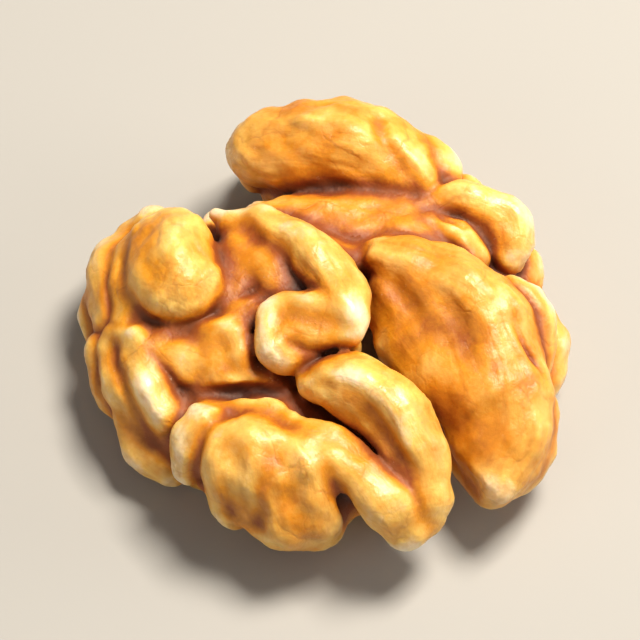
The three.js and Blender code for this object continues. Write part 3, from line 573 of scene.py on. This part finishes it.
# Each point learns the fold that it lies on, how far along that fold it is, and where round its middle
# line. The marks of each fold are shifted, so that no two folds have the same wrinkles.
SHIFT_ALONG = 7.3
SHIFT_AROUND = 3.1
place = low + GRID * points
warped = np.stack([sample(grid, points) for grid in (WX, WY, WZ)], 1)
fold_of = owner[tuple(np.round(points).astype(int).T)]
along = np.zeros(len(points))
around = np.zeros((len(points), 3))
for n in np.unique(fold_of):
    mine = np.flatnonzero(fold_of == n)
    line = growth[n][1]
    p = warped[mine]
    best = np.full(len(mine), 1e9)
    start = 0.0
    for a, b in zip(line[:-1], line[1:]):
        u = (b - a)[:3]
        length = np.linalg.norm(u)
        t = np.clip((p - a[:3]) @ u / max(length ** 2, 1e-9), 0, 1)
        off = p - a[:3] - t[:, None] * u
        far = np.linalg.norm(off, axis=1)
        closer = far < best
        best[closer] = far[closer]
        along[mine[closer]] = start + t[closer] * length
        around[mine[closer]] = off[closer]
        start += length
    along[mine] += SHIFT_ALONG * n
    around[mine] += SHIFT_AROUND * n

# The skin's relief, heights in mm: broad and small lumps, and wrinkles that run lengthwise on each fold.
# The wrinkles fade out in patches, and where two folds meet.
BROAD_LUMP, BROAD_LENGTH = 0.10, 3.0
SMALL_LUMP, SMALL_LENGTH = 0.055, 1.5
WRINKLE_DEPTH, WRINKLE_LENGTH, WRINKLE_WIDTH = 0.10, 2.6, 0.30
GRAIN_HEIGHT, GRAIN_LENGTH = 0.02, 0.9
STRETCH = 0.17
MEETING_WIDTH = 0.8
PATCH_LENGTH = 5.0
slope = slope_at(points)
outward = slope / np.maximum(np.linalg.norm(slope, axis=1), 1e-9)[:, None]
lumps = BROAD_LUMP * unrest(31, 9, BROAD_LENGTH, *place.T)
lumps = lumps + SMALL_LUMP * unrest(32, 9, SMALL_LENGTH, *place.T)
stretched = around + STRETCH * along[:, None]
wrinkles = np.exp(-(unrest(41, 12, WRINKLE_LENGTH, *stretched.T) / WRINKLE_WIDTH) ** 2)
own = np.clip(sample(second - nearest, points) / MEETING_WIDTH, 0, 1)
fade = own * np.clip(0.5 + 0.7 * unrest(43, 6, PATCH_LENGTH, *place.T), 0, 1)
fine = WRINKLE_DEPTH * wrinkles * fade - GRAIN_HEIGHT * own * unrest(42, 9, GRAIN_LENGTH, *stretched.T)
place = place + (lumps - fine)[:, None] * outward


def blur(grid, reach):
    """The grid's running mean over 2 * reach + 1 nodes each way, taken three times."""
    out = grid.astype(float)
    wide = 2 * reach + 1
    for axis in (0, 1, 2) * 3:
        padded = np.pad(out, [(reach + 1, reach) if k == axis else (0, 0) for k in range(3)], mode="edge")
        sums = np.cumsum(padded, axis=axis)
        after = np.take(sums, range(wide, sums.shape[axis]), axis=axis)
        before = np.take(sums, range(0, sums.shape[axis] - wide), axis=axis)
        out = (after - before) / wide
    return out


# How much solid lies round each point tells a crease from a crest, near by and further off. The skin's
# colour uses it to paint shade into the creases and hollows and a highlight onto the crests.
NEAR_BY = 3
FURTHER_OFF = 9
crease = sample(blur(inside, NEAR_BY), points)
hollow = sample(blur(inside, FURTHER_OFF), points)

# The mesh, in metres: middle at the origin, and flat where it rests.
MM = 0.001
place[:, 0] -= MIDDLE[0]
place[:, 1] -= MIDDLE[1]
place[:, 2] = np.maximum(place[:, 2] - REST_LEVEL, 0)
kernel_mesh = bpy.data.meshes.new("walnut_kernel")
kernel_mesh.vertices.add(len(place))
kernel_mesh.vertices.foreach_set("co", (place * MM).ravel())
kernel_mesh.loops.add(quads.size)
kernel_mesh.loops.foreach_set("vertex_index", quads.ravel())
kernel_mesh.polygons.add(len(quads))
kernel_mesh.polygons.foreach_set("loop_start", np.arange(0, quads.size, 4))
kernel_mesh.polygons.foreach_set("use_smooth", np.ones(len(quads), bool))
kernel_mesh.update(calc_edges=True)
for name, values in (("crease", crease), ("hollow", hollow), ("along", along * MM), ("own", own)):
    kernel_mesh.attributes.new(name, "FLOAT", "POINT").data.foreach_set("value", values)
around_mark = kernel_mesh.attributes.new("around", "FLOAT_VECTOR", "POINT")
around_mark.data.foreach_set("vector", (around * MM).ravel())
kernel = bpy.data.objects.new("walnut_kernel", kernel_mesh)
scene.collection.objects.link(kernel)

# The skin: a thin papery film, orange, painted paler and golden on the crests as a highlight and painted
# dark brown in the creases as shade, with fine veins, specks and wrinkles and a faint oily sheen. The
# flesh under it lets some light through.
skin = bpy.data.materials.new("walnut_skin")
skin.use_nodes = True
tree = skin.node_tree
shader = tree.nodes["Principled BSDF"]
shader.inputs["Specular IOR Level"].default_value = 0.65
shader.inputs["Specular Tint"].default_value = (1.0, 0.94, 0.84, 1)
shader.inputs["Subsurface Weight"].default_value = 0.22
shader.inputs["Subsurface Radius"].default_value = (1.0, 0.45, 0.15)
shader.inputs["Subsurface Scale"].default_value = 0.0012


def node(kind, **settings):
    """A node of the skin's tree with its settings and unlinked inputs filled in."""
    made = tree.nodes.new(kind)
    for key, value in settings.items():
        if hasattr(made, key):
            setattr(made, key, value)
        else:
            made.inputs[key.replace("_", " ")].default_value = value
    return made


def link(source, target):
    """One socket of the skin's tree feeds another."""
    tree.links.new(source, target)


def ramp(source, *stops):
    """A colour ramp over a value, from (place, colour) stops."""
    made = tree.nodes.new("ShaderNodeValToRGB")
    band = made.color_ramp
    while len(band.elements) < len(stops):
        band.elements.new(0.5)
    for element, (place_on, colour) in zip(band.elements, stops):
        element.position = place_on
        element.color = colour if len(colour) == 4 else (*colour, 1)
    link(source, made.inputs["Fac"])
    return made.outputs["Color"]


def mix(kind, share, first, second):
    """Two colours mixed in the named way; share is a number or an output."""
    made = tree.nodes.new("ShaderNodeMix")
    made.data_type = "RGBA"
    made.blend_type = kind
    if isinstance(share, (int, float)):
        made.inputs["Factor"].default_value = share
    else:
        link(share, made.inputs["Factor"])
    for socket, value in ((made.inputs[6], first), (made.inputs[7], second)):
        if isinstance(value, tuple):
            socket.default_value = (*value, 1)
        else:
            link(value, socket)
    return made.outputs[2]


def worked_out(kind, first, second):
    """Two numbers or outputs worked out together in the named way."""
    made = tree.nodes.new("ShaderNodeMath")
    made.operation = kind
    for socket, value in zip(made.inputs, (first, second)):
        if isinstance(value, (int, float)):
            socket.default_value = value
        else:
            link(value, socket)
    return made.outputs[0]


def noise(scale, detail=3.0, roughness=0.55):
    """A noise over the kernel, its scale in patches per metre."""
    made = node("ShaderNodeTexNoise", Scale=scale, Detail=detail, Roughness=roughness)
    link(where, made.inputs["Vector"])
    return made.outputs["Fac"]


where = tree.nodes.new("ShaderNodeTexCoord").outputs["Object"]
crease_depth = node("ShaderNodeAttribute", attribute_name="crease").outputs["Fac"]
hollow_depth = node("ShaderNodeAttribute", attribute_name="hollow").outputs["Fac"]

# Colour by depth in the folds, unsettled by blotches so that no band runs evenly: a painted highlight
# makes the crests pale, the slopes are orange, and painted shade turns the creases dark brown.
blotches = worked_out("MULTIPLY", worked_out("SUBTRACT", noise(260.0, 4.0, 0.6), 0.5), 0.17)
mottle = worked_out("MULTIPLY", worked_out("SUBTRACT", noise(1100.0, 4.0, 0.65), 0.5), 0.11)
depth = worked_out("ADD", crease_depth, worked_out("ADD", blotches, mottle))
# Painted highlight at the low end of the ramp and painted shade at the high end.
base = ramp(
    depth,
    (0.31, (0.96, 0.79, 0.52)),
    (0.392, (0.87, 0.52, 0.115)),
    (0.472, (0.72, 0.272, 0.008)),
    (0.57, (0.33, 0.07, 0.002)),
    (0.74, (0.08, 0.012, 0.001)),
)
# Painted shade: the deep hollows, with much solid round them further off, are darkened further.
painted_hollow_shade = ramp(hollow_depth, (0.54, (1, 1, 1)), (0.80, (0.62, 0.45, 0.32)))
base = mix("MULTIPLY", 0.65, base, painted_hollow_shade)

# Broad patches of paler and redder skin.
patches = ramp(noise(95.0, 2.0, 0.5), (0.36, (1.06, 1.10, 1.18)), (0.62, (0.93, 0.84, 0.74)))
base = mix("MULTIPLY", 0.75, base, patches)

# Streaks: the skin dries in faint darker lines that run lengthwise on each fold.
wrinkle = tree.nodes.new("ShaderNodeTexNoise")
wrinkle.noise_dimensions = "4D"
wrinkle.inputs["Scale"].default_value = 1500.0
wrinkle.inputs["Detail"].default_value = 3.0
link(node("ShaderNodeAttribute", attribute_name="around").outputs["Vector"], wrinkle.inputs["Vector"])
lengthwise = node("ShaderNodeAttribute", attribute_name="along").outputs["Fac"]
link(worked_out("MULTIPLY", lengthwise, 0.22), wrinkle.inputs["W"])
own_part = node("ShaderNodeAttribute", attribute_name="own").outputs["Fac"]
streaks = ramp(wrinkle.outputs["Fac"], (0.36, (0.74, 0.60, 0.42)), (0.58, (1.06, 1.06, 1.08)))
base = mix("MULTIPLY", worked_out("MULTIPLY", own_part, 0.55), base, streaks)

# Veins: a net of thin brown lines that branch over the skin.
bent = node("ShaderNodeVectorMath", operation="ADD")
drift = node("ShaderNodeTexNoise", Scale=240.0, Detail=3.0, Roughness=0.6)
link(where, drift.inputs["Vector"])
pull = node("ShaderNodeVectorMath", operation="SCALE", Scale=0.0042)
link(drift.outputs["Color"], pull.inputs[0])
link(where, bent.inputs[0])
link(pull.outputs[0], bent.inputs[1])
vein_nets = []
VEINS = [
    # meshes per metre, width, strength
    (170.0, 0.030, 0.30),
    (390.0, 0.05, 0.16),
]
for mesh_count, width, strength in VEINS:
    net = node("ShaderNodeTexVoronoi", feature="DISTANCE_TO_EDGE", Scale=mesh_count)
    link(bent.outputs[0], net.inputs["Vector"])
    vein_nets.append(ramp(net.outputs["Distance"], (0.0, (strength,) * 3), (width, (0, 0, 0))))
veins = mix("ADD", 1.0, vein_nets[0], vein_nets[1])
faded = mix("MULTIPLY", 1.0, veins, ramp(noise(330.0, 2.0), (0.40, (0, 0, 0)), (0.62, (1, 1, 1))))
base = mix("MULTIPLY", faded, base, (0.60, 0.40, 0.25))

# Specks: dark pores that gather here and there, and a few pale scuffs.
pores = ramp(noise(2300.0, 4.0, 0.7), (0.27, (1, 1, 1)), (0.36, (0, 0, 0)))
gathered = ramp(noise(300.0, 2.0), (0.46, (0, 0, 0)), (0.62, (1, 1, 1)))
pores = mix("MULTIPLY", 1.0, pores, gathered)
base = mix("MULTIPLY", worked_out("MULTIPLY", pores, 0.5), base, (0.50, 0.30, 0.16))
scuffs = ramp(noise(1500.0, 4.0, 0.7), (0.66, (0, 0, 0)), (0.74, (1, 1, 1)))
base = mix("SCREEN", worked_out("MULTIPLY", scuffs, 0.25), base, (0.75, 0.55, 0.33))
link(base, shader.inputs["Base Color"])

# Gloss: smoother on the crests that rub against each other, duller in the creases.
gloss = ramp(
    worked_out("ADD", depth, worked_out("MULTIPLY", noise(900.0, 3.0), 0.14)),
    (0.42, (0.34,) * 3),
    (0.66, (0.62,) * 3),
)
link(gloss, shader.inputs["Roughness"])

# Fine relief: the streaks stand a little proud, the veins lie a little low, and the skin has a grain.
grain = noise(2400.0, 3.0, 0.6)
drawn = worked_out("MULTIPLY", worked_out("MULTIPLY", wrinkle.outputs["Fac"], own_part), 0.8)
relief = worked_out("ADD", drawn, worked_out("MULTIPLY", grain, 0.35))
relief = worked_out("SUBTRACT", relief, worked_out("MULTIPLY", faded, 0.5))
bump = node("ShaderNodeBump", Strength=0.7, Distance=0.00018)
link(relief, bump.inputs["Height"])
link(bump.outputs["Normal"], shader.inputs["Normal"])
kernel_mesh.materials.append(skin)

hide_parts("kernel")
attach(kernel, "root")
